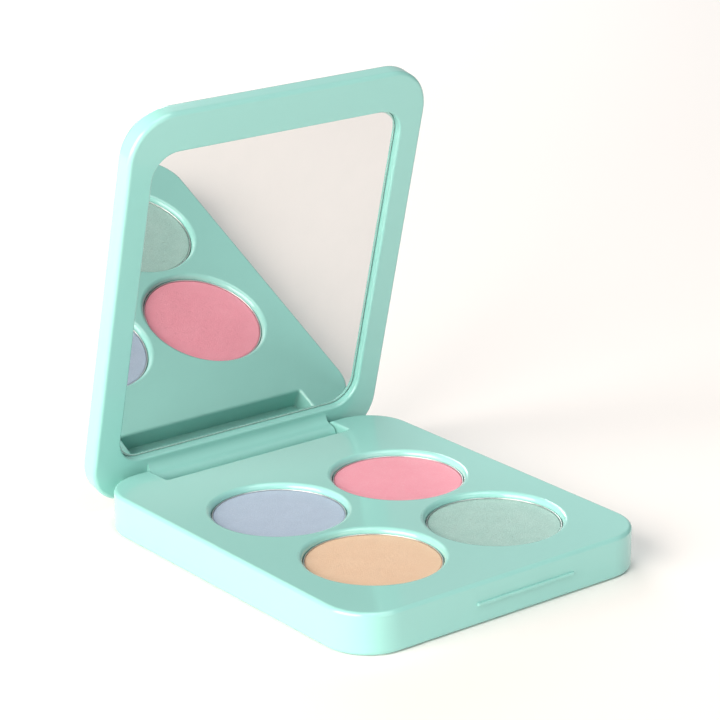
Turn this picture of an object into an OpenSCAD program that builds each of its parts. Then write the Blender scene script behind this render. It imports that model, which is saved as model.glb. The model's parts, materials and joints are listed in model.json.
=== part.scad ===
// Compact eyeshadow palette with four round pans, a mirror lid and a friction hinge.
// Origin: centre of the underside. +X runs along the hinge, +Y towards the hinge, +Z up.
// The lid is modelled in its closed place and turned about the hinge axis to lid_open.

/* [Case] */
// Width of the case, along the hinge
case_w = 71; // [66:0.5:90]
// Depth of the case, front to back
case_d = 84; // [82:0.5:104]
// Height of the deck above the table
base_h = 8.4; // [8.2:0.1:12]
// Radius of the case corners, seen from above
corner_r = 9.5; // [6:0.5:14]
// Thickness of the side walls
wall = 2.2; // [1.8:0.1:3]
// Thickness of the deck
deck_t = 1.6; // [1.2:0.1:2.4]
// Rounding of the deck's outer edge
deck_edge_r = 0.8; // [0.3:0.1:1.2]
// Rounding of the bottom edge
foot_edge_r = 1; // [0.3:0.1:1.2]
// Thickness of the bottom cover
cover_t = 1.3; // [1:0.1:1.6]
// Width of the rim around the bottom cover
cover_rim = 1.5; // [1.3:0.1:1.7]
// Gap around covers, panels and the mirror glass
panel_gap = 0.1; // [0.05:0.05:0.2]

/* [Pans] */
// Outer diameter of a pan
pan_d = 26; // [20:0.5:27]
// Height of a pan
pan_h = 4.2; // [3:0.1:4.4]
// Thickness of the pan's sheet metal
pan_sheet = 0.2; // [0.2:0.05:0.5]
// Radial gap between a pan and its well
pan_gap = 0.15; // [0.1:0.05:0.3]
// Depth of the powder's face below the deck
powder_drop = 1.15; // [0.8:0.05:1.6]
// Depth of the powder's face below the pan's rim
powder_below_rim = 0.1; // [0.05:0.05:0.5]
// Rounding of the powder's edge
powder_edge_r = 0.3; // [0.1:0.05:0.6]
// Space between neighbouring pans, left to right
pan_space_x = 3.5; // [3:0.1:5]
// Space between neighbouring pans, front to back
pan_space_y = 3.2; // [3:0.1:5]
// Place of the middle of the four pans, measured from the case's middle
pan_group_y = -5.4; // [-6:0.1:-4]
// Rounding of the wells' rims
well_edge_r = 1; // [0.5:0.1:1.2]
// Wall thickness of the well cups
well_wall = 1; // [0.8:0.1:1.2]
// Diameter of the adhesive pads
pad_d = 20; // [14:1:24]
// Thickness of the adhesive pads
pad_t = 0.3; // [0.2:0.1:0.5]

/* [Hinge] */
// Distance of the hinge axis from the case's back face
hinge_inset = 1; // [0.8:0.1:1.4]
// Distance of the hinge axis below the deck
hinge_drop = 2.25; // [2:0.05:2.6]
// Diameter of the hinge pins
pin_d = 1.2; // [0.8:0.1:1.4]
// Length of one hinge pin
pin_l = 12; // [9:0.5:16]
// Radial gap between a pin and the lid's knuckle
pin_gap = 0.03; // [0.02:0.01:0.08]
// Outer radius of the knuckle and the ears
barrel_r = 1.7; // [1.4:0.05:2.1]
// Length of each ear, along the pin
ear_l = 5; // [4:0.5:6]
// Width of the notch that takes the knuckle
notch_w = 45.6; // [30:0.2:48]
// Length of the notch, from the case's back face
notch_l = 6.6; // [6:0.1:8]
// Gap at each end of the knuckle
knuckle_end_gap = 0.35; // [0.2:0.05:0.6]
// Gap between the knuckle and the notch's floor
knuckle_floor_gap = 0.5; // [0.35:0.05:0.6]
// Thickness of the plastic under and in front of the notch
notch_skin = 1.1; // [0.8:0.1:1.3]
// Rounding of the notch's upper edges
notch_edge_r = 0.5; // [0.2:0.1:0.6]
// Corner radius of the notch, seen from above
notch_corner_r = 0.6; // [0.5:0.1:1.5]
// Radius of the fillet between the knuckle and the lid
knuckle_fillet_r = 1.6; // [0.8:0.1:1.8]

/* [Lid] */
// Thickness of the lid
lid_t = 4.5; // [4.2:0.1:6]
// Gap between the closed lid and the deck
parting_gap = 0.15; // [0.1:0.05:0.4]
// Opening angle of the lid, from closed
lid_open = 76.4; // [0:0.2:130]
// How far the closed lid's free edge stands back from the case's front
lid_front_inset = 2; // [0:0.1:2.4]
// How far the closed lid reaches behind the case
lid_tail = 3.7; // [0:0.1:4]
// Rounding of the lid's inner edge
lid_inner_edge_r = 0.9; // [0.4:0.1:1.2]
// Rounding of the lid's outer edge
lid_outer_edge_r = 1.4; // [0.5:0.1:1.8]
// Width of the frame beside the mirror
border_side = 5.75; // [5:0.05:9]
// Width of the frame at the lid's free edge
border_front = 8.35; // [8.2:0.05:11]
// Width of the frame at the hinge
border_hinge = 9.05; // [8:0.05:11]
// Corner radius of the mirror opening
mirror_corner_r = 5.5; // [3:0.5:8]
// Depth of the mirror's face below the frame
mirror_drop = 1.3; // [0.6:0.1:1.4]
// Rounding of the mirror opening's edge
mirror_edge_r = 0.4; // [0.2:0.1:0.5]
// Thickness of the mirror glass
glass_t = 1; // [0.8:0.1:1.2]
// Thickness of the tape behind the glass
tape_t = 0.15; // [0.1:0.05:0.3]
// Distance of the tape's edge from the glass's edge
tape_inset = 3; // [1:0.5:8]
// Thickness of the back panel
back_t = 1; // [0.8:0.1:1.2]
// Width of the rim around the back panel
back_rim = 2.4; // [2.2:0.1:4]

/* [Closure] */
// Diameter of the magnets
magnet_d = 5; // [4:0.5:5]
// Thickness of the magnets
magnet_t = 2.5; // [1.5:0.1:2.5]
// Plastic between the lid's magnet pocket and the back panel's edge
magnet_edge = 0.3; // [0.2:0.1:0.5]
// Thickness of the deck over the base magnet
magnet_skin = 1; // [0.8:0.1:1.2]
// Radial gap between a magnet and its pocket
magnet_gap = 0.05; // [0.02:0.01:0.1]
// Length of the finger catch on the front wall
catch_l = 23.6; // [16:0.2:30]
// Height of the finger catch
catch_h = 0.6; // [0.5:0.1:1]
// How far the finger catch stands out
catch_out = 0.45; // [0.3:0.05:0.8]
// Corner radius of the finger catch, seen from above
catch_corner_r = 0.35; // [0.2:0.05:0.4]
// Rounding of the finger catch's edges
catch_edge_r = 0.12; // [0.05:0.01:0.2]
// Sideways place of the finger catch's middle
catch_x = 3.5; // [-5:0.5:5]
// Height of the finger catch's middle
catch_z = 4.3; // [3:0.1:5]

/* [Label] */
// Width of the underside label
label_w = 44; // [30:1:54]
// Depth of the underside label
label_d = 30; // [20:1:60]
// Thickness of the underside label
label_t = 0.12; // [0.08:0.02:0.2]
// Corner radius of the underside label
label_corner_r = 3; // [1:0.5:6]

/* [Hidden] */
$fn = 96;
eps = 0.02;

// Colours
mint = [0.64, 0.86, 0.80];
tin = [0.83, 0.84, 0.84];
steel = [0.70, 0.71, 0.72];
silvered = [0.88, 0.90, 0.91];
adhesive = [0.93, 0.93, 0.90];
paper = [0.96, 0.97, 0.96];
lilac = [0.71, 0.76, 0.86];
pink = [0.94, 0.62, 0.67];
gold = [0.92, 0.78, 0.63];
green = [0.69, 0.81, 0.77];

// Case levels and faces
back_y = case_d / 2;
front_y = -case_d / 2;
cavity_r = corner_r - wall;

// Pan stack, from the powder's face down
powder_z = base_h - powder_drop;
pan_pitch_x = pan_d + pan_space_x;
pan_pitch_y = pan_d + pan_space_y;
pan_rim_z = powder_z + powder_below_rim;
pan_z = pan_rim_z - pan_h;
pad_z = pan_z - pad_t;
well_r = pan_d / 2 + pan_gap;
cup_r = well_r + well_wall;
cup_floor_z = pad_z - well_wall;

// Hinge
hinge_y = back_y - hinge_inset;
hinge_z = base_h - hinge_drop;
notch_floor_z = hinge_z - barrel_r - knuckle_floor_gap;
notch_y = back_y - notch_l;
knuckle_l = notch_w - 2 * knuckle_end_gap;
ear_end_x = notch_w / 2 + ear_l;
pin_r = pin_d / 2;

// Lid levels, closed
lid_z = base_h + parting_gap;
lid_top_z = lid_z + lid_t;
glass_z = lid_z + mirror_drop;
tape_z = glass_z + glass_t;
mirror_floor_z = tape_z + tape_t;
back_z = lid_top_z - back_t;
opening_w = case_w - 2 * border_side;
lid_d = case_d - lid_front_inset + lid_tail;
lid_y = (lid_front_inset + lid_tail) / 2;
opening_d = lid_d - border_front - border_hinge;
opening_y = lid_y + (border_front - border_hinge) / 2;
magnet_y = front_y + lid_front_inset + back_rim + magnet_edge + magnet_gap + magnet_d / 2;
base_magnet_z = base_h - magnet_skin - magnet_t;
lid_magnet_z = back_z - magnet_t;

// Cover details
rib_t = 1;
rib_h = 1.2;
ring_r = 9;
ring_w = 1;
ring_gap = 0.06;
boss_wall = 1.1;

// Outline of a rectangle with round corners, centred on the origin
module round_rect(w, d, r) {
    square([w - 2 * r, d], center = true);
    square([w, d - 2 * r], center = true);
    for (x = [-1, 1], y = [-1, 1])
        translate([x * (w / 2 - r), y * (d / 2 - r)]) circle(r);
}

// Flat plate with round corners
module plate(w, d, r, h) {
    linear_extrude(h) round_rect(w, d, r);
}

// Half section through a slab's edge: inner side at x = 0, outer side at x = r
module edge_section(r, h, top_r, foot_r) {
    difference() {
        square([r, h]);
        translate([r - top_r, h - top_r]) corner_waste(top_r);
        translate([r - foot_r, foot_r]) mirror([0, 1]) corner_waste(foot_r);
    }
}

// What a rounding of radius r takes off a square corner, with the arc's centre at the origin
module corner_waste(r) {
    difference() {
        square(r + eps);
        circle(r);
    }
}

// Slab with round plan corners and rounded top and bottom edges
module slab(w, d, r, h, top_r, foot_r) {
    inner_w = w - 2 * r;
    inner_d = d - 2 * r;
    translate([-inner_w / 2, -inner_d / 2, 0]) cube([inner_w, inner_d, h]);
    for (side = [0, 1]) mirror([side, 0, 0]) translate([inner_w / 2, inner_d / 2, 0])
        rotate([90, 0, 0]) linear_extrude(inner_d) edge_section(r, h, top_r, foot_r);
    for (side = [0, 1]) mirror([0, side, 0]) translate([-inner_w / 2, inner_d / 2, 0])
        rotate([90, 0, 90]) linear_extrude(inner_w) edge_section(r, h, top_r, foot_r);
    for (x = [0, 1], y = [0, 1]) mirror([x, 0, 0]) mirror([0, y, 0])
        translate([inner_w / 2, inner_d / 2, 0])
            rotate_extrude(angle = 90) edge_section(r, h, top_r, foot_r);
}

// Straight rounding cut along +X: solid on the -Y side and below, edge on the X axis
module edge_cut(r, l) {
    rotate([90, 0, 90]) linear_extrude(l) translate([-r, -r]) corner_waste(r);
}

// Rounding cut round the upper edge of an opening with round corners
module opening_edge_cut(w, d, corner_r, r) {
    inner_w = w - 2 * corner_r;
    inner_d = d - 2 * corner_r;
    for (side = [0, 1]) mirror([0, side, 0])
        translate([-inner_w / 2, -d / 2, 0]) edge_cut(r, inner_w);
    for (side = [0, 1]) mirror([side, 0, 0])
        translate([-w / 2, inner_d / 2, 0]) rotate([0, 0, -90]) edge_cut(r, inner_d);
    for (x = [0, 1], y = [0, 1]) mirror([x, 0, 0]) mirror([0, y, 0])
        translate([inner_w / 2, inner_d / 2, -r]) rotate_extrude(angle = 90)
            translate([corner_r + r, 0]) mirror([1, 0]) corner_waste(r);
}

// Puts a shape at each pan's place
module at_pans() {
    for (x = [-1, 1], y = [-1, 1]) at_pan(x, y) children();
}

module at_pan(side, row) {
    translate([side * pan_pitch_x / 2, pan_group_y + row * pan_pitch_y / 2, 0]) children();
}

// Turns the lid from its closed place to its opening angle
module lid_pose() {
    translate([0, hinge_y, hinge_z]) rotate([-lid_open, 0, 0])
        translate([0, -hinge_y, -hinge_z]) children();
}

// Cylinder along X, centred on the hinge axis
module axis_rod(r, x0, x1) {
    translate([x0, hinge_y, hinge_z]) rotate([0, 90, 0]) cylinder(r = r, h = x1 - x0);
}

// ---- Base ----

module underside_label() {
    color(paper) plate(label_w, label_d, label_corner_r, label_t);
}

module bottom_cover() {
    inset = cover_rim + panel_gap;
    rib_inset = wall + panel_gap;
    color(mint) union() {
        difference() {
            plate(case_w - 2 * inset, case_d - 2 * inset, corner_r - inset, cover_t);
            translate([0, 0, -eps])
                plate(label_w, label_d, label_corner_r, label_t + eps);
        }
        translate([0, 0, cover_t - eps]) difference() {
            plate(case_w - 2 * rib_inset, case_d - 2 * rib_inset, corner_r - rib_inset, rib_h);
            translate([0, 0, -eps])
                plate(case_w - 2 * (rib_inset + rib_t), case_d - 2 * (rib_inset + rib_t),
                    corner_r - rib_inset - rib_t, rib_h + 2 * eps);
        }
        at_pans() difference() {
            translate([0, 0, cover_t - eps])
                cylinder(r = ring_r, h = cup_floor_z - cover_t - ring_gap + eps);
            cylinder(r = ring_r - ring_w, h = cup_floor_z);
        }
    }
}

// Inside of the shell, without the cups, notch housing, ears and magnet boss
module shell_cavity() {
    difference() {
        translate([0, 0, -eps])
            plate(case_w - 2 * wall, case_d - 2 * wall, cavity_r, base_h - deck_t + eps);
        at_pans() translate([0, 0, cup_floor_z]) cylinder(r = cup_r, h = base_h);
        translate([-notch_w / 2 - notch_skin, notch_y - notch_skin, notch_floor_z - notch_skin])
            cube([notch_w + 2 * notch_skin, notch_l, base_h]);
        for (side = [0, 1]) mirror([side, 0, 0])
            translate([notch_w / 2, hinge_y - barrel_r, notch_floor_z - notch_skin])
                cube([ear_l + notch_skin, back_y, base_h]);
        translate([0, magnet_y, base_magnet_z])
            cylinder(r = magnet_d / 2 + magnet_gap + boss_wall, h = base_h);
    }
}

// Space for the knuckle, open at the top and the back, with rounded upper edges
module hinge_notch() {
    reach = 3 * notch_l;
    translate([0, notch_y + reach / 2, 0]) {
        translate([0, 0, notch_floor_z]) plate(notch_w, reach, notch_corner_r, base_h);
        translate([0, 0, base_h])
            opening_edge_cut(notch_w, reach, notch_corner_r, notch_edge_r);
    }
}

// Thin lip to hold the base by; its inner half is buried in the front wall
module finger_catch() {
    translate([catch_x, front_y, catch_z - catch_h / 2])
        slab(catch_l, 2 * catch_out, catch_corner_r, catch_h, catch_edge_r, catch_edge_r);
}

module base_shell() {
    color(mint) difference() {
        union() {
            slab(case_w, case_d, corner_r, base_h, deck_edge_r, foot_edge_r);
            axis_rod(barrel_r, -ear_end_x, ear_end_x);
            finger_catch();
        }
        shell_cavity();
        translate([0, 0, -eps])
            plate(case_w - 2 * cover_rim, case_d - 2 * cover_rim, corner_r - cover_rim,
                cover_t + eps);
        at_pans() {
            translate([0, 0, pad_z]) cylinder(r = well_r, h = base_h);
            translate([0, 0, base_h - well_edge_r]) rotate_extrude()
                translate([well_r + well_edge_r, 0]) mirror([1, 0]) corner_waste(well_edge_r);
        }
        hinge_notch();
        axis_rod(pin_r, -ear_end_x - eps, ear_end_x + eps);
        translate([0, magnet_y, base_magnet_z - eps])
            cylinder(r = magnet_d / 2 + magnet_gap, h = magnet_t + eps);
    }
}

// ---- Pans ----

module pan_pad(side, row) {
    color(adhesive) at_pan(side, row) translate([0, 0, pad_z]) cylinder(d = pad_d, h = pad_t);
}

module pan(side, row) {
    color(tin) at_pan(side, row) difference() {
        translate([0, 0, pan_z]) cylinder(d = pan_d, h = pan_h);
        translate([0, 0, pan_z + pan_sheet]) cylinder(r = pan_d / 2 - pan_sheet, h = pan_h);
    }
}

module powder(side, row, tint) {
    r = pan_d / 2 - pan_sheet;
    floor_z = pan_z + pan_sheet;
    color(tint) at_pan(side, row) translate([0, 0, floor_z]) difference() {
        cylinder(r = r, h = powder_z - floor_z);
        translate([0, 0, powder_z - floor_z - powder_edge_r]) rotate_extrude()
            translate([r - powder_edge_r, 0]) corner_waste(powder_edge_r);
    }
}

// ---- Closure and hinge ----

module base_magnet() {
    color(steel) translate([0, magnet_y, base_magnet_z]) cylinder(d = magnet_d, h = magnet_t);
}

module lid_magnet() {
    color(steel) lid_pose() translate([0, magnet_y, lid_magnet_z])
        cylinder(d = magnet_d, h = magnet_t);
}

module hinge_pins() {
    color(steel) for (side = [0, 1]) mirror([side, 0, 0])
        axis_rod(pin_r, ear_end_x - pin_l, ear_end_x);
}

// ---- Lid ----

// Section of the knuckle across the hinge, with the axis at the origin and the lid above it
module knuckle_section() {
    top = lid_z - hinge_z + eps;
    circle(barrel_r);
    translate([-barrel_r, 0]) square([barrel_r + hinge_inset, top]);
    difference() {
        translate([-barrel_r - knuckle_fillet_r, top - knuckle_fillet_r - eps])
            square([knuckle_fillet_r + eps, knuckle_fillet_r + eps]);
        translate([-barrel_r - knuckle_fillet_r, top - knuckle_fillet_r - eps])
            circle(knuckle_fillet_r);
    }
}

module lid_frame() {
    color(mint) lid_pose() difference() {
        union() {
            translate([0, lid_y, lid_z])
                slab(case_w, lid_d, corner_r, lid_t, lid_outer_edge_r, lid_inner_edge_r);
            translate([-knuckle_l / 2, hinge_y, hinge_z]) rotate([90, 0, 90])
                linear_extrude(knuckle_l) knuckle_section();
        }
        translate([0, opening_y, lid_z - eps])
            plate(opening_w, opening_d, mirror_corner_r, mirror_floor_z - lid_z + eps);
        translate([0, opening_y, lid_z]) mirror([0, 0, 1])
            opening_edge_cut(opening_w, opening_d, mirror_corner_r, mirror_edge_r);
        translate([0, lid_y, back_z])
            plate(case_w - 2 * back_rim, lid_d - 2 * back_rim, corner_r - back_rim, back_t + eps);
        translate([0, magnet_y, lid_magnet_z])
            cylinder(r = magnet_d / 2 + magnet_gap, h = back_z - lid_magnet_z + eps);
        axis_rod(pin_r + pin_gap, -knuckle_l, knuckle_l);
    }
}

module lid_back() {
    inset = back_rim + panel_gap;
    color(mint) lid_pose() translate([0, lid_y, back_z])
        plate(case_w - 2 * inset, lid_d - 2 * inset, corner_r - inset, back_t);
}

module mirror_tape() {
    inset = panel_gap + tape_inset;
    color(adhesive) lid_pose() translate([0, opening_y, tape_z])
        plate(opening_w - 2 * inset, opening_d - 2 * inset, mirror_corner_r - inset / 2, tape_t);
}

module mirror_glass() {
    color(silvered) lid_pose() translate([0, opening_y, glass_z])
        plate(opening_w - 2 * panel_gap, opening_d - 2 * panel_gap,
            mirror_corner_r - panel_gap, glass_t);
}

underside_label();
bottom_cover();
base_shell();
pan_pad(-1, 1);  // pan_pad_lilac
pan_pad(1, 1);  // pan_pad_pink
pan_pad(-1, -1);  // pan_pad_gold
pan_pad(1, -1);  // pan_pad_green
pan(-1, 1);  // pan_lilac
pan(1, 1);  // pan_pink
pan(-1, -1);  // pan_gold
pan(1, -1);  // pan_green
powder(-1, 1, lilac);  // powder_lilac
powder(1, 1, pink);  // powder_pink
powder(-1, -1, gold);  // powder_gold
powder(1, -1, green);  // powder_green
base_magnet();
hinge_pins();
lid_frame();
lid_back();
lid_magnet();
mirror_tape();
mirror_glass();  // mirror
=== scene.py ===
"""Looks of a compact eyeshadow palette with four round pans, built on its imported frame.

Everything is in metres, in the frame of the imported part: +X along the hinge, +Y towards the
hinge at the back, +Z up, with the origin under the middle of the case.
"""

import json
import logging
import math
from collections.abc import Callable, Sequence
from dataclasses import dataclass, field
from enum import Enum

import bmesh
import bpy
import numpy as np
from mathutils import Matrix, Vector


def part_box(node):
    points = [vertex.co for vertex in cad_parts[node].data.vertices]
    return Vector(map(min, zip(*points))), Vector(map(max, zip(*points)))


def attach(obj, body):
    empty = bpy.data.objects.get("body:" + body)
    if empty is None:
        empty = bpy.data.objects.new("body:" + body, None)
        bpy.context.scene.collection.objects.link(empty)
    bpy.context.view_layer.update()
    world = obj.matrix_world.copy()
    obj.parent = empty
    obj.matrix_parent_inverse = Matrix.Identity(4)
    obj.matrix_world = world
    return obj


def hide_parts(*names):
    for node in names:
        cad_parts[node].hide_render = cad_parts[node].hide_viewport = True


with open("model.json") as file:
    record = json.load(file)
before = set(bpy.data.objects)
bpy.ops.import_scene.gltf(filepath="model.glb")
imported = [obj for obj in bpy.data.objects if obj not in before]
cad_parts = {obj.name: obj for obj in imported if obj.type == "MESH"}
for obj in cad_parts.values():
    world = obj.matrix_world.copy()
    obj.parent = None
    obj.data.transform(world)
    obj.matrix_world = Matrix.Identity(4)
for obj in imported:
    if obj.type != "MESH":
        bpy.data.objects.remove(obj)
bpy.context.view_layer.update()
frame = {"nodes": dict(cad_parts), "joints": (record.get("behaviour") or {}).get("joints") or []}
MM = 0.001
log = logging.getLogger("palette")

Colour = tuple[float, float, float]
Socket = bpy.types.NodeSocket


# ---- Surfaces ----


@dataclass
class Skin:
    """A surface being made.

    Attributes:
        points: The points, one row each.
        faces: Arrays of faces; each array's faces have the same number of corners.
    """

    points: np.ndarray
    faces: list[np.ndarray]

    def __add__(self, other: "Skin") -> "Skin":
        """Puts two surfaces together in one, with their points kept apart."""
        shift = len(self.points)
        return Skin(
            np.vstack([self.points, other.points]),
            self.faces + [faces + shift for faces in other.faces],
        )

    def moved(self, x: float = 0.0, y: float = 0.0, z: float = 0.0) -> "Skin":
        """Moves the surface without turning it."""
        return Skin(self.points + np.array([x, y, z]), self.faces)

    def mirrored_x(self) -> "Skin":
        """Turns the surface over from left to right."""
        return Skin(self.points * np.array([-1.0, 1.0, 1.0]), [f[:, ::-1] for f in self.faces])


def patch(grid: np.ndarray, loop: bool = True) -> Skin:
    """Covers a grid of points with four-sided faces.

    Args:
        grid: Points as an array of rows, columns and 3 coordinates.
        loop: Whether the last row joins the first.

    Returns:
        The surface. Point (i, j) of the grid joins (i+1, j), (i+1, j+1) and (i, j+1).
    """
    rows, columns = grid.shape[:2]
    i = np.arange(rows if loop else rows - 1)[:, None]
    j = np.arange(columns - 1)[None, :]
    after = (i + 1) % rows
    corners = [i * columns + j, after * columns + j, after * columns + j + 1, i * columns + j + 1]
    faces = np.stack(np.broadcast_arrays(*corners), axis=-1).reshape(-1, 4)
    return Skin(grid.reshape(-1, 3), [faces])


def arc(centre: Sequence[float], radius: float, start: float, end: float, steps: int) -> np.ndarray:
    """Samples a circular arc.

    Args:
        centre: The arc's centre in the plane.
        radius: The arc's radius.
        start: The first angle, in degrees.
        end: The last angle, in degrees.
        steps: How many pieces the arc has.

    Returns:
        Points centre + radius (cos a, sin a), with a in even steps from start to end.
    """
    a = np.radians(np.linspace(start, end, steps + 1))
    return np.array(centre) + radius * np.stack([np.cos(a), np.sin(a)], axis=-1)


def lathe(profile: np.ndarray, steps: int = 128) -> Skin:
    """Turns a profile round the Z axis.

    Args:
        profile: Radius and height of each profile point.
        steps: How many pieces the turn has.

    Returns:
        The surface (r cos a, r sin a, z) for each profile point (r, z) and angle a round the turn.
    """
    a = np.linspace(0.0, 2.0 * np.pi, steps, endpoint=False)[:, None]
    r, z = profile[None, :, 0], profile[None, :, 1]
    grid = np.stack([r * np.cos(a), r * np.sin(a), z + 0.0 * a], axis=-1)
    return patch(grid)


def round_rectangle(
    width: float, depth: float, corner: float, steps: int = 16
) -> tuple[np.ndarray, np.ndarray]:
    """Samples the outline of a rectangle with round corners, centred on the origin.

    Args:
        width: The size along X.
        depth: The size along Y.
        corner: The corners' radius.
        steps: How many pieces each corner has.

    Returns:
        The outline's points and its outward unit normals. Each corner is a quarter circle,
        corner centre + radius (cos a, sin a), and straight sides join the quarters.
    """
    quarter = np.arange(4)[:, None]
    a = (quarter + np.linspace(0.0, 1.0, steps + 1)[None, :]) * np.pi / 2
    normals = np.stack([np.cos(a), np.sin(a)], axis=-1)
    signs = np.array([[1, 1], [-1, 1], [-1, -1], [1, -1]])
    centres = signs * np.array([width / 2 - corner, depth / 2 - corner])
    points = centres[:, None, :] + corner * normals
    return points.reshape(-1, 2), normals.reshape(-1, 2)


def slab(width: float, depth: float, corner: float, profile: np.ndarray) -> Skin:
    """Makes a closed plate by carrying an edge profile round a rectangle with round corners.

    Args:
        width: The plate's size along X, where the profile's offset is 0.
        depth: The plate's size along Y, where the profile's offset is 0.
        corner: The corners' radius, where the profile's offset is 0.
        profile: Offset (0 at the edge, less than 0 inwards) and height of each profile point.

    Returns:
        The surface outline + offset times its normal, at each height, closed by two flat faces.
    """
    outline, normals = round_rectangle(width, depth, corner)
    offset = profile[None, :, 0, None]
    plan = outline[:, None, :] + normals[:, None, :] * offset
    height = np.broadcast_to(profile[None, :, 1], plan.shape[:2])
    side = patch(np.concatenate([plan, height[..., None]], axis=-1))
    count, columns = plan.shape[:2]
    rim = np.arange(count) * columns
    return Skin(side.points, side.faces + [rim[None, ::-1], rim[None, :] + columns - 1])


# ---- Pieces ----


class Piece:
    """Turns surfaces into the scene's objects and tells the frame about them."""

    @staticmethod
    def make(
        name: str,
        skin: Skin,
        body: str,
        node: str,
        slot: str,
        finishes: Sequence[bpy.types.Material],
        turn: Matrix | None = None,
        crease: float = 35.0,
        choose: Callable[[np.ndarray], np.ndarray] | None = None,
    ) -> bpy.types.Object:
        """Makes one finished piece from a surface.

        Args:
            name: The piece's name.
            skin: The surface, in millimetres.
            body: The CAD body that the piece moves with.
            node: The CAD node that the piece stands for.
            slot: The record's material slot; not used.
            finishes: The piece's materials.
            turn: How the piece is turned after it is made, or None.
            crease: The least angle of a sharp edge, in degrees.
            choose: Gives each face's material number from the faces' normals, or None.

        Returns:
            The object, at the origin, with its place in its mesh.
        """
        mesh = bpy.data.meshes.new(name)
        faces = [row for array in skin.faces for row in array.tolist()]
        mesh.from_pydata((skin.points * MM).tolist(), [], faces)
        work = bmesh.new()
        work.from_mesh(mesh)
        bmesh.ops.remove_doubles(work, verts=work.verts, dist=1e-7)
        bmesh.ops.recalc_face_normals(work, faces=work.faces)
        work.to_mesh(mesh)
        work.free()
        for finish in finishes:
            mesh.materials.append(finish)
        if choose is not None:
            normals = np.empty(len(mesh.polygons) * 3)
            mesh.polygons.foreach_get("normal", normals)
            numbers = choose(normals.reshape(-1, 3)).astype(np.int32)
            mesh.polygons.foreach_set("material_index", numbers)
        if turn is not None:
            mesh.transform(turn)
        mesh.shade_smooth()
        mesh.set_sharp_from_angle(angle=math.radians(crease))
        piece = bpy.data.objects.new(name, mesh)
        bpy.context.scene.collection.objects.link(piece)
        weighted = piece.modifiers.new("even_shading", "WEIGHTED_NORMAL")
        weighted.keep_sharp = True
        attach(piece, body)
        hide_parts(node)
        log.info("%s: %d points, %d faces, on %s", name, len(mesh.vertices), len(mesh.polygons), body)
        return piece

    @staticmethod
    def dress(node: str, finish: bpy.types.Material) -> None:
        """Gives a CAD node that stays in view its material.

        Args:
            node: The CAD node's name.
            finish: The material.
        """
        shown = frame["nodes"][node]
        shown.data.materials.clear()
        shown.data.materials.append(finish)
        log.info("%s: CAD node with %s", node, finish.name)


# ---- Material nodes ----


class Graph:
    """Adds nodes to a material's or a group's tree and joins them up."""

    def __init__(self, tree: bpy.types.NodeTree) -> None:
        """Keeps the tree to add to."""
        self.tree = tree

    def add(self, kind: str, values: dict[str | int, object] | None = None, **settings: object) -> bpy.types.Node:
        """Adds one node.

        Args:
            kind: The node's type, without its ShaderNode prefix where it has one.
            values: What each input takes, by name or number: a constant or another node's output.
            **settings: The node's own settings.

        Returns:
            The new node.
        """
        prefix = "" if kind.startswith("NodeGroup") else "ShaderNode"
        node = self.tree.nodes.new(prefix + kind)
        for setting, value in settings.items():
            setattr(node, setting, value)
        for key, value in (values or {}).items():
            if isinstance(value, Socket):
                self.tree.links.new(value, node.inputs[key])
            else:
                node.inputs[key].default_value = value
        return node

    def place(self, centre: Sequence[float] = (0, 0, 0), scale: Sequence[float] = (1, 1, 1)) -> Socket:
        """Gives the object's own coordinates, moved and stretched.

        Args:
            centre: The place that becomes the origin, before the stretch.
            scale: The stretch along each axis.

        Returns:
            The coordinates' socket.
        """
        where = self.add("TexCoord").outputs["Object"]
        moved = self.add("VectorMath", {0: where, 1: tuple(centre)}, operation="SUBTRACT")
        return self.add("Mapping", {"Vector": moved.outputs[0], "Scale": tuple(scale)}).outputs[0]

    def noise(self, place: Socket, scale: object, detail: float = 2.0, rough: float = 0.5) -> Socket:
        """Adds a cloud pattern.

        Args:
            place: Where the pattern is read.
            scale: Its waves per metre, or a socket that gives them.
            detail: How many finer patterns are laid over it.
            rough: How strong the finer patterns are.

        Returns:
            The pattern's value, 0 to 1.
        """
        values = {"Vector": place, "Scale": scale, "Detail": detail, "Roughness": rough}
        return self.add("TexNoise", values).outputs["Fac"]

    def ramp(
        self, value: Socket, low: float, high: float, to_low: float = 0.0, to_high: float = 1.0
    ) -> Socket:
        """Stretches a value from one range to another and stops it at the ends.

        Args:
            value: The value.
            low: The value that becomes to_low.
            high: The value that becomes to_high.
            to_low: The new low end.
            to_high: The new high end.

        Returns:
            The stretched value.
        """
        values = {"Value": value, "From Min": low, "From Max": high, "To Min": to_low, "To Max": to_high}
        return self.add("MapRange", values).outputs["Result"]

    def maths(self, operation: str, a: object, b: object) -> Socket:
        """Works out one sum of two values, each a constant or a socket."""
        return self.add("Math", {0: a, 1: b}, operation=operation).outputs[0]

    def blend(self, share: Socket, first: Colour, second: Colour) -> Socket:
        """Blends two colours.

        Args:
            share: How much of the second colour there is, 0 to 1.
            first: The colour where share is 0.
            second: The colour where share is 1.

        Returns:
            The blended colour.
        """
        mix = self.add("Mix", data_type="RGBA")
        mix.inputs[6].default_value = (*first, 1.0)
        mix.inputs[7].default_value = (*second, 1.0)
        self.tree.links.new(share, mix.inputs[0])
        return mix.outputs[2]

    def bump(
        self, height: Socket, depth: float, strength: float, normal: Socket | None = None
    ) -> Socket:
        """Turns a height into a shading normal.

        Args:
            height: The height, 0 to 1.
            depth: How deep the height 1 is, in metres.
            strength: How much of it shows, 0 to 1.
            normal: The normal to start from, or None for the surface's own.

        Returns:
            The normal.
        """
        values: dict[str | int, object] = {"Height": height, "Distance": depth, "Strength": strength}
        if normal is not None:
            values["Normal"] = normal
        return self.add("Bump", values).outputs[0]


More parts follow.
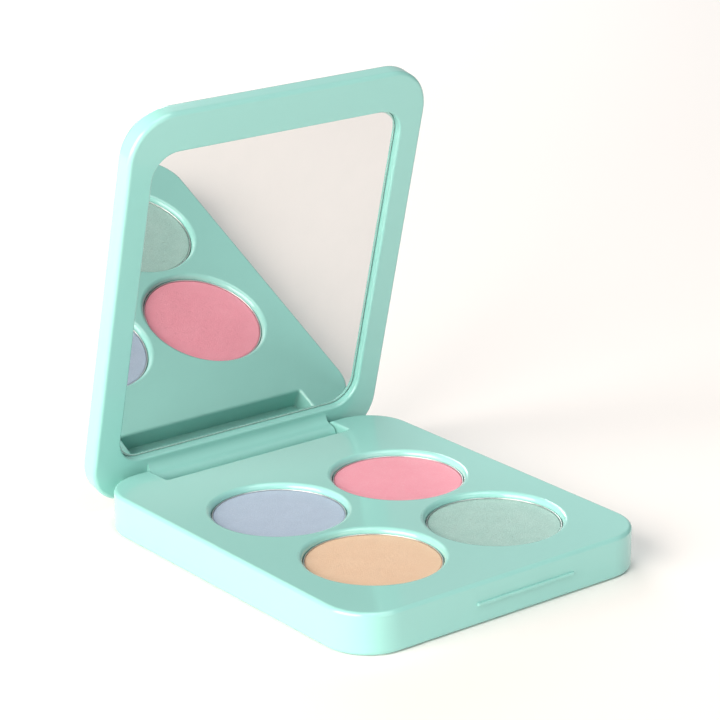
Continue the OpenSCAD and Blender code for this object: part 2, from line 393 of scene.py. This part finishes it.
class Effects:
    """The effects that several finishes share, each a node group built once."""

    _made: dict[str, bpy.types.NodeTree] = {}

    @classmethod
    def _group(
        cls,
        name: str,
        inputs: dict[str, float | None],
        outputs: dict[str, str],
        fill: Callable[[Graph, bpy.types.Node], dict[str, Socket]],
    ) -> bpy.types.NodeTree:
        """Builds a group the first time that it is asked for.

        Args:
            name: The group's name.
            inputs: Its inputs: a default number, or None for a vector.
            outputs: Its outputs and their kinds: Float, Color or Vector.
            fill: Adds the nodes and returns what each output takes.

        Returns:
            The group.
        """
        if name not in cls._made:
            tree = bpy.data.node_groups.new(name, "ShaderNodeTree")
            for key, default in inputs.items():
                kind = "NodeSocketVector" if default is None else "NodeSocketFloat"
                socket = tree.interface.new_socket(key, in_out="INPUT", socket_type=kind)
                if default is not None:
                    socket.default_value = default
            for key, kind in outputs.items():
                tree.interface.new_socket(key, in_out="OUTPUT", socket_type="NodeSocket" + kind)
            graph = Graph(tree)
            results = fill(graph, graph.add("NodeGroupInput"))
            graph.add("NodeGroupOutput", dict(results))
            cls._made[name] = tree
        return cls._made[name]

    @classmethod
    def moulding(cls) -> bpy.types.NodeTree:
        """Gives the skin of moulded plastic: slow tint drift, handling smudges and a faint ripple."""

        def fill(graph: Graph, given: bpy.types.Node) -> dict[str, Socket]:
            """Adds the clouds that make up the skin."""
            place = given.outputs["Place"]
            smudge = graph.maths("MULTIPLY", graph.noise(place, 38.0, 3.0), graph.noise(place, 210.0, 5.0, 0.6))
            specks = graph.ramp(graph.noise(place, 5200.0, 2.0, 0.7), 0.66, 0.80)
            return {
                "Tint": graph.noise(place, 16.0, 2.0),
                "Smudge": graph.ramp(smudge, 0.16, 0.40),
                "Ripple": graph.noise(place, given.outputs["Ripple Size"], 2.0, 0.4),
                "Specks": specks,
            }

        outputs = {"Tint": "Float", "Smudge": "Float", "Ripple": "Float", "Specks": "Float"}
        return cls._group("moulding", {"Place": None, "Ripple Size": 500.0}, outputs, fill)

    @classmethod
    def pressed_grain(cls) -> bpy.types.NodeTree:
        """Gives the face of pressed powder: grain, uneven shade, and flakes with their own tilts."""

        def fill(graph: Graph, given: bpy.types.Node) -> dict[str, Socket]:
            """Adds the grain's clouds and the flakes' cells."""
            place = given.outputs["Place"]
            grain = graph.noise(place, given.outputs["Grain Size"], 5.0, 0.65)
            patches = graph.noise(place, 240.0, 4.0, 0.6)
            shade = graph.maths("ADD", graph.maths("MULTIPLY", grain, 0.6), graph.maths("MULTIPLY", patches, 0.4))
            cells = graph.add(
                "TexVoronoi",
                {"Vector": place, "Scale": given.outputs["Flake Size"], "Randomness": 1.0},
            )
            parts = graph.add("SeparateColor", {0: cells.outputs["Color"]})
            rare = graph.ramp(parts.outputs[0], 0.35, 1.00)
            inner = graph.ramp(cells.outputs["Distance"], 0.55, 0.30)
            flake = graph.maths("MULTIPLY", rare, inner)
            tilt = graph.add("VectorMath", {0: cells.outputs["Color"], 1: (0.5, 0.5, 0.5)}, operation="SUBTRACT")
            share = graph.maths("MULTIPLY", flake, 0.35)
            lean = graph.add("VectorMath", {0: tilt.outputs[0], "Scale": share}, operation="SCALE")
            facing = graph.add("NewGeometry").outputs["Normal"]
            sent = graph.add("VectorMath", {0: lean.outputs[0], 1: facing}, operation="ADD")
            normal = graph.add("VectorMath", {0: sent.outputs[0]}, operation="NORMALIZE")
            return {
                "Shade": graph.ramp(shade, 0.34, 0.66),
                "Grain": grain,
                "Flake": flake,
                "Normal": normal.outputs[0],
            }

        outputs = {"Shade": "Float", "Grain": "Float", "Flake": "Float", "Normal": "Vector"}
        inputs = {"Place": None, "Grain Size": 6000.0, "Flake Size": 3000.0}
        return cls._group("pressed_grain", inputs, outputs, fill)

    @classmethod
    def handled_metal(cls) -> bpy.types.NodeTree:
        """Gives the skin of bare metal: drawn lines, dull patches, and edges rubbed bright."""

        def fill(graph: Graph, given: bpy.types.Node) -> dict[str, Socket]:
            """Adds the lines, the patches and the edges."""
            place = given.outputs["Place"]
            pointed = graph.add("NewGeometry").outputs["Pointiness"]
            rubbed = graph.ramp(pointed, 0.51, 0.60)
            worn = graph.ramp(graph.noise(place, 700.0, 3.0), 0.3, 0.6, 0.6, 1.0)
            return {
                "Lines": graph.noise(given.outputs["Stretched"], 900.0, 4.0, 0.7),
                "Dull": graph.ramp(graph.noise(place, 260.0, 4.0, 0.6), 0.35, 0.70),
                "Edge": graph.maths("MULTIPLY", rubbed, worn),
            }

        outputs = {"Lines": "Float", "Dull": "Float", "Edge": "Float"}
        return cls._group("handled_metal", {"Place": None, "Stretched": None}, outputs, fill)

    @classmethod
    def handling(cls) -> bpy.types.NodeTree:
        """Gives what handling leaves on a smooth face: a thin film in patches, and dust."""

        def fill(graph: Graph, given: bpy.types.Node) -> dict[str, Socket]:
            """Adds the film's clouds and the dust's cells."""
            place = given.outputs["Place"]
            film = graph.maths("MULTIPLY", graph.noise(place, 30.0, 3.0), graph.noise(place, 160.0, 4.0, 0.6))
            cells = graph.add("TexVoronoi", {"Vector": place, "Scale": 900.0, "Randomness": 1.0})
            near = graph.ramp(cells.outputs["Distance"], 0.09, 0.03)
            chosen = graph.ramp(graph.add("SeparateColor", {0: cells.outputs["Color"]}).outputs[0], 0.80, 0.84)
            return {"Film": graph.ramp(film, 0.18, 0.42), "Dust": graph.maths("MULTIPLY", near, chosen)}

        return cls._group("handling", {"Place": None}, {"Film": "Float", "Dust": "Float"}, fill)


# ---- Finishes ----


@dataclass(frozen=True)
class Finish:
    """What every finish has: a name, and a Principled shader to feed."""

    name: str

    def start(self) -> tuple[bpy.types.Material, Graph, bpy.types.Node]:
        """Makes the empty material.

        Returns:
            The material, its graph and its Principled shader.
        """
        material = bpy.data.materials.new(self.name)
        material.use_nodes = True
        material.node_tree.nodes.clear()
        graph = Graph(material.node_tree)
        shader = graph.add("BsdfPrincipled")
        graph.add("OutputMaterial", {"Surface": shader.outputs[0]})
        return material, graph, shader


@dataclass(frozen=True)
class MintPlastic(Finish):
    """Glossy pastel plastic, as it comes out of a polished mould and after a little handling.

    Attributes:
        pale: The tint where the pigment runs thin.
        deep: The tint where it gathers.
        gloss: Roughness of the cleanest places.
        dulled: Roughness of the most handled places.
    """

    name: str = "mint_plastic"
    pale: Colour = (0.314, 0.650, 0.598)
    deep: Colour = (0.300, 0.636, 0.582)
    gloss: float = 0.20
    dulled: float = 0.25

    def build(self) -> bpy.types.Material:
        """Makes the material."""
        material, graph, shader = self.start()
        skin = graph.add("Group", node_tree=Effects.moulding())
        graph.tree.links.new(graph.place(), skin.inputs["Place"])
        skin.inputs["Ripple Size"].default_value = 420.0
        links = graph.tree.links
        tint = graph.blend(graph.ramp(skin.outputs["Tint"], 0.3, 0.7), self.pale, self.deep)
        links.new(tint, shader.inputs["Base Color"])
        rough = graph.ramp(skin.outputs["Smudge"], 0.0, 1.0, self.gloss, self.dulled)
        links.new(rough, shader.inputs["Roughness"])
        height = graph.maths("ADD", skin.outputs["Ripple"], graph.maths("MULTIPLY", skin.outputs["Specks"], 0.12))
        links.new(graph.bump(height, 0.00001, 0.35), shader.inputs["Normal"])
        shader.inputs["IOR"].default_value = 1.49
        shader.inputs["Coat Weight"].default_value = 0.6
        shader.inputs["Coat Roughness"].default_value = 0.05
        return material


@dataclass(frozen=True)
class PressedPowder(Finish):
    """Pressed eye powder, from matt to shimmering.

    Attributes:
        light: The colour of the raised grain.
        dark: The colour between the grains.
        glint: The colour of the flakes.
        shimmer: How metallic the brightest flakes are, 0 to 1.
        flakes: How many cells of flake there are in a metre.
        centre: The middle of the pan, in metres.
    """

    light: Colour = (0.8, 0.4, 0.4)
    dark: Colour = (0.7, 0.3, 0.3)
    glint: Colour = (1.0, 0.9, 0.9)
    shimmer: float = 0.2
    flakes: float = 3000.0
    centre: tuple[float, float, float] = (0.0, 0.0, 0.0)

    def build(self) -> bpy.types.Material:
        """Makes the material."""
        material, graph, shader = self.start()
        links = graph.tree.links
        face = graph.add("Group", node_tree=Effects.pressed_grain())
        links.new(graph.place(self.centre), face.inputs["Place"])
        face.inputs["Grain Size"].default_value = 5200.0
        face.inputs["Flake Size"].default_value = self.flakes
        ground = graph.blend(face.outputs["Shade"], self.dark, self.light)
        coloured = graph.add("Mix", data_type="RGBA")
        links.new(graph.maths("MULTIPLY", face.outputs["Flake"], self.shimmer), coloured.inputs[0])
        links.new(ground, coloured.inputs[6])
        coloured.inputs[7].default_value = (*self.glint, 1.0)
        links.new(coloured.outputs[2], shader.inputs["Base Color"])
        links.new(graph.ramp(face.outputs["Flake"], 0.0, 1.0, 0.62, 0.30), shader.inputs["Roughness"])
        links.new(graph.maths("MULTIPLY", face.outputs["Flake"], self.shimmer), shader.inputs["Metallic"])
        normal = graph.bump(face.outputs["Grain"], 0.00012, 0.5, face.outputs["Normal"])
        links.new(normal, shader.inputs["Normal"])
        shader.inputs["Specular IOR Level"].default_value = 0.25
        shader.inputs["Sheen Weight"].default_value = 0.06
        shader.inputs["Sheen Roughness"].default_value = 0.45
        return material


@dataclass(frozen=True)
class DrawnMetal(Finish):
    """Bare or plated metal with drawing lines and edges rubbed bright.

    Attributes:
        ground: The colour of the metal's faces.
        bright: The colour of its rubbed edges.
        smooth: Roughness of the cleanest places.
        rough: Roughness of the dullest places.
        stretch: How the drawing lines are stretched along each axis.
    """

    name: str = "drawn_metal"
    ground: Colour = (0.66, 0.67, 0.67)
    bright: Colour = (0.86, 0.87, 0.87)
    smooth: float = 0.18
    rough: float = 0.36
    stretch: tuple[float, float, float] = (1.0, 1.0, 8.0)

    def build(self) -> bpy.types.Material:
        """Makes the material."""
        material, graph, shader = self.start()
        links = graph.tree.links
        skin = graph.add("Group", node_tree=Effects.handled_metal())
        links.new(graph.place(), skin.inputs["Place"])
        links.new(graph.place(scale=self.stretch), skin.inputs["Stretched"])
        links.new(graph.blend(skin.outputs["Edge"], self.ground, self.bright), shader.inputs["Base Color"])
        links.new(graph.ramp(skin.outputs["Dull"], 0.0, 1.0, self.smooth, self.rough), shader.inputs["Roughness"])
        links.new(graph.bump(skin.outputs["Lines"], 0.00001, 0.4), shader.inputs["Normal"])
        shader.inputs["Metallic"].default_value = 1.0
        return material


@dataclass(frozen=True)
class SilveredGlass(Finish):
    """The mirror's face: silver under clear glass, with a trace of handling."""

    name: str = "silvered_glass"
    clean: Colour = (0.81, 0.80, 0.795)
    filmed: Colour = (0.79, 0.785, 0.78)

    def build(self) -> bpy.types.Material:
        """Makes the material."""
        material, graph, shader = self.start()
        links = graph.tree.links
        touch = graph.add("Group", node_tree=Effects.handling())
        links.new(graph.place(), touch.inputs["Place"])
        links.new(graph.blend(touch.outputs["Film"], self.clean, self.filmed), shader.inputs["Base Color"])
        film = graph.ramp(touch.outputs["Film"], 0.0, 1.0, 0.004, 0.022)
        dust = graph.maths("MULTIPLY", touch.outputs["Dust"], 0.12)
        links.new(graph.maths("ADD", film, dust), shader.inputs["Roughness"])
        shader.inputs["Metallic"].default_value = 1.0
        return material


@dataclass(frozen=True)
class GroundGlass(Finish):
    """The mirror's ground edge: frosted glass with a greenish tint that is partly a painted reflection of the
    mint frame, and small chips painted pale as painted glints.
    """

    name: str = "ground_glass_edge"
    # Greenish glass tint, partly a painted reflection of the mint plastic round the mirror.
    frost_and_mint_reflection: Colour = (0.72, 0.83, 0.80)
    # Pale chips: partly real chips, partly a painted glint along the edge.
    chip_and_glint: Colour = (0.92, 0.97, 0.96)

    def build(self) -> bpy.types.Material:
        """Makes the material."""
        material, graph, shader = self.start()
        links = graph.tree.links
        place = graph.place()
        grit = graph.noise(place, 4200.0, 4.0, 0.7)
        # Chip mask: smoother chips, also painted pale as painted glints; the rest takes the painted mint
        # reflection.
        chips_and_glints = graph.ramp(graph.noise(place, 900.0, 3.0, 0.6), 0.55, 0.70)
        links.new(graph.blend(chips_and_glints, self.frost_and_mint_reflection, self.chip_and_glint), shader.inputs["Base Color"])
        links.new(graph.ramp(chips_and_glints, 0.0, 1.0, 0.32, 0.12), shader.inputs["Roughness"])
        links.new(graph.bump(grit, 0.00005, 0.5), shader.inputs["Normal"])
        shader.inputs["IOR"].default_value = 1.52
        shader.inputs["Coat Weight"].default_value = 0.4
        return material


@dataclass(frozen=True)
class SheetStock(Finish):
    """Paper and adhesive sheet: a fibrous face with a slight sheen.

    Attributes:
        pale: The colour of the raised fibres.
        deep: The colour between them.
        rough: Roughness of the sheet.
    """

    name: str = "sheet_stock"
    pale: Colour = (0.90, 0.91, 0.90)
    deep: Colour = (0.82, 0.83, 0.81)
    rough: float = 0.55

    def build(self) -> bpy.types.Material:
        """Makes the material."""
        material, graph, shader = self.start()
        links = graph.tree.links
        fibres = graph.noise(graph.place(scale=(1.0, 2.2, 1.0)), 2600.0, 5.0, 0.7)
        patches = graph.noise(graph.place(), 180.0, 3.0)
        links.new(graph.blend(graph.ramp(fibres, 0.35, 0.65), self.deep, self.pale), shader.inputs["Base Color"])
        links.new(graph.ramp(patches, 0.3, 0.7, self.rough - 0.08, self.rough + 0.08), shader.inputs["Roughness"])
        links.new(graph.bump(fibres, 0.00002, 0.5), shader.inputs["Normal"])
        return material


@dataclass(frozen=True)
class StudioFloor(Finish):
    """The pale floor's matt board."""

    name: str = "studio_floor"
    pale: Colour = (0.92, 0.895, 0.875)
    deep: Colour = (0.91, 0.885, 0.865)

    def build(self) -> bpy.types.Material:
        """Makes the material."""
        material, graph, shader = self.start()
        links = graph.tree.links
        cloud = graph.noise(graph.place(), 4.0, 3.0)
        links.new(graph.blend(graph.ramp(cloud, 0.3, 0.7), self.pale, self.deep), shader.inputs["Base Color"])
        links.new(graph.ramp(cloud, 0.3, 0.7, 0.75, 0.85), shader.inputs["Roughness"])
        shader.inputs["Specular IOR Level"].default_value = 0.2
        return material


# ---- Sub-assemblies ----


class Shade(Enum):
    """The four powders: the node's ending, and the finish's colours."""

    LILAC = "lilac"
    PINK = "pink"
    GOLD = "gold"
    GREEN = "green"

    def finish(self, centre: tuple[float, float, float]) -> PressedPowder:
        """Gives the powder's finish.

        Args:
            centre: The middle of the powder's face, in metres.

        Returns:
            The finish, with this shade's colours and shimmer.
        """
        looks = {
            Shade.LILAC: dict(
                light=(0.445, 0.535, 0.67), dark=(0.38, 0.465, 0.59),
                glint=(0.66, 0.73, 0.84), shimmer=0.30, flakes=3200.0,
            ),
            Shade.PINK: dict(
                light=(0.88, 0.368, 0.455), dark=(0.83, 0.305, 0.385),
                glint=(1.00, 0.56, 0.62), shimmer=0.15, flakes=3400.0,
            ),
            Shade.GOLD: dict(
                light=(0.81, 0.575, 0.405), dark=(0.75, 0.50, 0.335),
                glint=(1.00, 0.76, 0.54), shimmer=0.25, flakes=3200.0,
            ),
            Shade.GREEN: dict(
                light=(0.41, 0.61, 0.56), dark=(0.305, 0.505, 0.46),
                glint=(0.66, 0.86, 0.80), shimmer=0.60, flakes=2700.0,
            ),
        }
        return PressedPowder(name=f"powder_{self.value}", centre=centre, **looks[self])


@dataclass
class Palette:
    """Sizes that several sub-assemblies share, in millimetres."""

    hinge: Vector = field(default_factory=lambda: Vector(frame["joints"][0]["pos_m"]))
    open_angle: float = frame["joints"][0]["range_deg"][1]

    def lid_turn(self) -> Matrix:
        """Turns a mesh about the hinge, from the closed lid's place to the open lid's."""
        turn = Matrix.Rotation(-math.radians(self.open_angle), 4, "X")
        return Matrix.Translation(self.hinge) @ turn @ Matrix.Translation(-self.hinge)


@dataclass
class ShadowPan:
    """One pan of pressed powder on its adhesive pad.

    Attributes:
        shade: Which powder it holds.
        sheet: Thickness of the pan's metal.
        bead: Radius of the pan's rounded rim.
        foot: Radius of the bend between the pan's wall and floor.
        crown: How far the powder's middle stands above its edge.
        settle: Rounding of the powder's edge.
    """

    shade: Shade
    metal: bpy.types.Material
    adhesive: bpy.types.Material
    sheet: float = 0.2
    bead: float = 0.095
    foot: float = 0.6
    crown: float = 0.03
    settle: float = 0.35

    def _box(self, kind: str) -> tuple[np.ndarray, float, float, float]:
        """Reads a round CAD node's place.

        Args:
            kind: The node's name before the shade: pan, powder or pan_pad.

        Returns:
            The centre on the plan, the radius, the lowest and the highest level, in millimetres.
        """
        low, high = (np.array(corner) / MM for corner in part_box(f"{kind}_{self.shade.value}"))
        return (low[:2] + high[:2]) / 2, float(high[0] - low[0]) / 2, float(low[2]), float(high[2])

    def pad(self) -> bpy.types.Object:
        """Makes the adhesive pad: a thin disc with a softly cut edge, turned from its profile."""
        centre, radius, low, high = self._box("pan_pad")
        soft = (high - low) / 2
        edge = arc((radius - soft, low + soft), soft, -90, 90, 8)
        profile = np.vstack([[0, low], edge, [0, high]])
        skin = lathe(profile, 96).moved(*centre)
        return Piece.make(
            f"{self.shade.value}_pan_pad", skin, "base", f"pan_pad_{self.shade.value}",
            "adhesive", [self.adhesive],
        )

    def pan(self) -> bpy.types.Object:
        """Makes the pan: a drawn cup, turned from a profile with a bent foot and a beaded rim."""
        centre, radius, low, high = self._box("pan")
        inner = radius - self.sheet
        profile = np.vstack([
            [0, low],
            arc((radius - self.foot, low + self.foot), self.foot, -90, 0, 10),
            arc((radius - self.bead, high - self.bead), self.bead, 0, 90, 8),
            arc((inner + self.bead, high - self.bead), self.bead, 90, 180, 8),
            arc((inner - self.foot + self.sheet, low + self.foot), self.foot - self.sheet, 0, -90, 8),
            [0, low + self.sheet],
        ])
        skin = lathe(profile, 160).moved(*centre)
        return Piece.make(
            f"{self.shade.value}_pan", skin, "base", f"pan_{self.shade.value}", "pan", [self.metal]
        )

    def powder(self) -> bpy.types.Object:
        """Makes the powder: a turned cake whose face falls off gently towards a rounded edge.

        The face's height over its edge is crown (1 - (r / R) squared), less a ripple of a few
        hundredths that the pressing leaves: cos 5a times (r / R) cubed.
        """
        centre, radius, low, high = self._box("powder")
        foot = self.foot - self.sheet
        face = np.linspace(radius - self.settle, 0.0, 28)
        fall = high - self.crown + self.crown * (1 - (face / radius) ** 2)
        fall -= fall.max() - high
        shoulder = arc((radius - self.settle, fall[0] - self.settle), self.settle, 0, 90, 8)
        wall = arc((radius - foot, low + foot), foot, -90, 0, 6)
        profile = np.vstack([[0, low], wall, shoulder, np.stack([face, fall], axis=-1)[1:]])
        profile[:, 0] *= 0.999
        skin = lathe(profile, 144)
        reach = np.hypot(skin.points[:, 0], skin.points[:, 1]) / radius
        about = np.arctan2(skin.points[:, 1], skin.points[:, 0])
        upper = skin.points[:, 2] > high - self.crown - self.settle
        skin.points[:, 2] -= upper * 0.008 * (1 + np.cos(5 * about)) * reach**3
        finish = self.shade.finish((centre[0] * MM, centre[1] * MM, high * MM)).build()
        return Piece.make(
            f"{self.shade.value}_powder", skin.moved(*centre), "base", f"powder_{self.shade.value}",
            f"powder_{self.shade.value}", [finish],
        )

    def build(self) -> None:
        """Makes the pad, the pan and the powder."""
        self.pad()
        self.pan()
        self.powder()


@dataclass
class BaseCase:
    """The base: the shell with its four wells, the bottom cover and its label.

    Attributes:
        label_w: Width of the label.
        label_d: Depth of the label.
        label_corner: Corner radius of the label.
    """

    plastic: bpy.types.Material
    paper: bpy.types.Material
    label_w: float = 44.0
    label_d: float = 30.0
    label_corner: float = 3.0

    def label(self) -> bpy.types.Object:
        """Makes the blank label: a thin plate with a softened edge carried round its outline."""
        low, high = (np.array(corner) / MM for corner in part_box("underside_label"))
        soft = (high[2] - low[2]) / 2
        profile = arc((-soft, (low[2] + high[2]) / 2), soft, -90, 90, 6)
        skin = slab(self.label_w, self.label_d, self.label_corner, profile)
        return Piece.make("blank_label", skin, "base", "underside_label", "label", [self.paper])

    def build(self) -> None:
        """Dresses the shell and the cover, and makes the label."""
        Piece.dress("base_shell", self.plastic)
        Piece.dress("bottom_cover", self.plastic)
        self.label()


@dataclass
class HingeSet:
    """The two steel pins that the lid turns on.

    Attributes:
        chamfer: The bevel at each end of a pin.
        length: Length of one pin.
    """

    steel: bpy.types.Material
    chamfer: float = 0.15
    length: float = 12.0

    def build(self) -> bpy.types.Object:
        """Makes both pins: a turned rod with bevelled ends, laid along X on each side."""
        low, high = (np.array(corner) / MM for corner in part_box("hinge_pins"))
        radius = (high[2] - low[2]) / 2
        profile = np.array([
            [0, 0], [radius - self.chamfer, 0], [radius, self.chamfer], [radius, self.length / 2],
            [radius, self.length - self.chamfer], [radius - self.chamfer, self.length],
            [0, self.length],
        ])
        rod = lathe(profile, 48)
        laid = Skin(rod.points[:, [2, 1, 0]], [f[:, ::-1] for f in rod.faces])
        right = laid.moved(high[0] - self.length, (low[1] + high[1]) / 2, (low[2] + high[2]) / 2)
        both = right + right.mirrored_x()
        return Piece.make("steel_pins", both, "base", "hinge_pins", "hinge_pin", [self.steel])


@dataclass
class Closure:
    """The two hidden magnets that keep the lid shut.

    Attributes:
        radius: Radius of a magnet.
        height: Height of a magnet.
        level: Level of the lid magnet's foot when the lid is closed.
        edge: Rounding of the plated edges.
    """

    plated: bpy.types.Material
    palette: Palette
    radius: float = 2.5
    height: float = 2.5
    level: float = 9.55
    edge: float = 0.25

    def _disc(self, level: float) -> Skin:
        """Makes one magnet: a disc turned from a profile with rounded edges.

        Args:
            level: The level of its foot.

        Returns:
            The surface, at the magnets' place on the plan.
        """
        low, high = (np.array(corner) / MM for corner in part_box("base_magnet"))
        reach = self.radius - self.edge
        profile = np.vstack([
            [0, level],
            arc((reach, level + self.edge), self.edge, -90, 0, 6),
            arc((reach, level + self.height - self.edge), self.edge, 0, 90, 6),
            [0, level + self.height],
        ])
        return lathe(profile, 64).moved((low[0] + high[0]) / 2, (low[1] + high[1]) / 2)

    def build(self) -> None:
        """Makes the base's magnet and the lid's."""
        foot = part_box("base_magnet")[0][2] / MM
        Piece.make("case_magnet", self._disc(foot), "base", "base_magnet", "magnet", [self.plated])
        turn = self.palette.lid_turn()
        Piece.make("cover_magnet", self._disc(self.level), "lid", "lid_magnet", "magnet", [self.plated], turn)


@dataclass
class Lid:
    """The lid: frame, back panel, mirror and the tape behind it. Levels are those of the closed lid.

    Attributes:
        glass_w: Width of the mirror glass.
        glass_d: Depth of the mirror glass.
        glass_corner: Corner radius of the mirror glass.
        glass_y: Place of the glass's middle, front to back.
        glass_low: Level of the mirror's face.
        glass_high: Level of the mirror's back.
        ground: Width of the ground bevel round the mirror's face.
        tape_inset: Distance of the tape's edge from the glass's edge.
        tape_t: Thickness of the tape.
    """

    plastic: bpy.types.Material
    adhesive: bpy.types.Material
    palette: Palette
    glass_w: float = 59.3
    glass_d: float = 68.1
    glass_corner: float = 5.4
    glass_y: float = 2.5
    glass_low: float = 9.85
    glass_high: float = 10.85
    ground: float = 0.45
    tape_inset: float = 3.0
    tape_t: float = 0.15

    def mirror(self) -> bpy.types.Object:
        """Makes the mirror: a glass plate whose edge profile has a ground bevel at the face."""
        profile = np.array([
            [-self.ground, self.glass_low],
            [0, self.glass_low + 0.6 * self.ground],
            [0, self.glass_high - 0.1],
            [-0.1, self.glass_high],
        ])
        skin = slab(self.glass_w, self.glass_d, self.glass_corner, profile).moved(y=self.glass_y)
        finishes = [SilveredGlass().build(), GroundGlass().build()]

        def choose(normals: np.ndarray) -> np.ndarray:
            """Puts the silver on the two flat faces and the ground finish on the rest."""
            return np.abs(normals[:, 2]) < 0.99

        return Piece.make(
            "mirror_glass", skin, "lid", "mirror", "mirror", finishes, self.palette.lid_turn(),
            20.0, choose,
        )

    def tape(self) -> bpy.types.Object:
        """Makes the tape: a thin plate with a softened edge carried round its outline."""
        soft = self.tape_t / 2
        profile = arc((-soft, self.glass_high + soft), soft, -90, 90, 4)
        inset = self.tape_inset
        corner = self.glass_corner - inset / 2
        skin = slab(self.glass_w - 2 * inset, self.glass_d - 2 * inset, corner, profile).moved(y=self.glass_y)
        return Piece.make(
            "backing_tape", skin, "lid", "mirror_tape", "adhesive", [self.adhesive],
            self.palette.lid_turn(),
        )

    def build(self) -> None:
        """Dresses the frame and the back panel, and makes the mirror and the tape."""
        Piece.dress("lid_frame", self.plastic)
        Piece.dress("lid_back", self.plastic)
        self.mirror()
        self.tape()


# ---- Studio ----


@dataclass
class Studio:
    """The camera, the pale floor and the soft lights.

    Attributes:
        azimuth: The camera's turn round the object, in degrees; 0 looks along +Y.
        elevation: The camera's height above the horizon, in degrees.
        roll: The camera's tilt about its own axis, in degrees.
        place: The camera's place, in metres.
        lens: The lens's focal length, in millimetres.
        floor_radius: Radius of the floor, in metres.
        sky: Strength of the even light from all round.
    """

    azimuth: float = -38.226
    elevation: float = 18.986
    roll: float = -0.1027
    place: tuple[float, float, float] = (-0.31142, -0.39275, 0.21049)
    lens: float = 139.6
    floor_radius: float = 2.5
    sky: float = 0.16

    def camera(self) -> None:
        """Makes the camera. Its backward axis is (sin a cos e, -cos a cos e, sin e)."""
        a, e, r = (math.radians(v) for v in (self.azimuth, self.elevation, self.roll))
        back = Vector((math.sin(a) * math.cos(e), -math.cos(a) * math.cos(e), math.sin(e)))
        level = Vector((math.cos(a), math.sin(a), 0.0))
        upright = back.cross(level)
        right = math.cos(r) * level + math.sin(r) * upright
        up = back.cross(right)
        data = bpy.data.cameras.new("camera")
        data.lens = self.lens
        data.sensor_width = 36.0
        data.clip_start, data.clip_end = 0.01, 20.0
        camera = bpy.data.objects.new("camera", data)
        axes = Matrix((right, up, back)).transposed().to_4x4()
        camera.matrix_world = Matrix.Translation(self.place) @ axes
        bpy.context.scene.collection.objects.link(camera)
        bpy.context.scene.camera = camera

    def floor(self) -> None:
        """Makes the floor: rings (r cos a, r sin a, 0) out to the floor's radius."""
        radii = np.array([0.0, 0.2, 0.6, 1.2, self.floor_radius])
        disc = lathe(np.stack([radii, 0 * radii], axis=-1), 96)
        mesh = bpy.data.meshes.new("studio_floor")
        mesh.from_pydata(disc.points.tolist(), [], disc.faces[0][:, ::-1].tolist())
        work = bmesh.new()
        work.from_mesh(mesh)
        bmesh.ops.remove_doubles(work, verts=work.verts, dist=1e-6)
        work.to_mesh(mesh)
        work.free()
        mesh.materials.append(StudioFloor().build())
        floor = bpy.data.objects.new("studio_floor", mesh)
        bpy.context.scene.collection.objects.link(floor)

    def _panel(
        self, name: str, place: Sequence[float], size: float, power: float, colour: Colour,
        target: Sequence[float] = (0.0, 0.0, 0.03),
    ) -> None:
        """Adds one soft square light.

        Args:
            name: The light's name.
            place: Its place, in metres.
            size: The length of its sides, in metres.
            power: Its power, in watts.
            colour: Its colour.
            target: The place that it faces, in metres.
        """
        data = bpy.data.lights.new(name, "AREA")
        data.shape, data.size, data.energy, data.color = "SQUARE", size, power, colour
        light = bpy.data.objects.new(name, data)
        aim = Vector(target) - Vector(place)
        light.matrix_world = Matrix.Translation(place) @ aim.to_track_quat("-Z", "Y").to_matrix().to_4x4()
        bpy.context.scene.collection.objects.link(light)

    def lights(self) -> None:
        """Adds the even sky and the soft panels: the key from the left, and four weaker ones."""
        scene = bpy.context.scene
        scene.world = bpy.data.worlds.new("studio_sky")
        scene.world.use_nodes = True
        sky = scene.world.node_tree.nodes["Background"]
        sky.inputs["Color"].default_value = (1.0, 1.0, 1.0, 1.0)
        sky.inputs["Strength"].default_value = self.sky
        self._panel("key_left", (-0.88, -0.10, 0.33), 0.95, 20.5, (1.0, 0.93, 0.86))
        self._panel("overhead", (0.05, -0.40, 1.05), 0.70, 4.3, (1.0, 1.0, 1.0))
        self._panel("soft_front", (0.10, -1.20, 0.30), 0.60, 2.0, (1.0, 1.0, 1.0))
        self._panel("sheen_back", (0.80, 0.93, 0.44), 0.90, 0.75, (1.0, 1.0, 1.0))
        self._panel("back_wash", (0.25, 0.80, 0.50), 0.50, 4.0, (1.0, 1.0, 1.0), (0.25, 0.38, 0.0))
        scene.view_settings.view_transform = "Standard"
        scene.view_settings.look = "None"

    def build(self) -> None:
        """Makes the camera, the floor and the lights."""
        self.camera()
        self.floor()
        self.lights()


def main() -> None:
    """Builds the studio and every piece in order."""
    logging.basicConfig(level=logging.INFO, format="%(name)s %(message)s")
    Studio().build()
    palette = Palette()
    plastic = MintPlastic().build()
    adhesive = SheetStock("adhesive_sheet", (0.80, 0.80, 0.75), (0.70, 0.70, 0.64), 0.45).build()
    paper = SheetStock("label_paper").build()
    pan_metal = DrawnMetal(
        "pan_metal", (0.80, 0.81, 0.81), (0.90, 0.91, 0.91), 0.30, 0.42, (1.0, 1.0, 10.0)
    ).build()
    plated = DrawnMetal("nickel_plate", (0.60, 0.60, 0.585), (0.85, 0.84, 0.82), 0.12, 0.26).build()
    steel = DrawnMetal(
        "pin_steel", (0.55, 0.56, 0.57), (0.80, 0.80, 0.81), 0.20, 0.34, (0.05, 1.0, 1.0)
    ).build()
    BaseCase(plastic, paper).build()
    for shade in Shade:
        ShadowPan(shade, pan_metal, adhesive).build()
    HingeSet(steel).build()
    Closure(plated, palette).build()
    Lid(plastic, adhesive, palette).build()


if __name__ == "__main__":
    main()
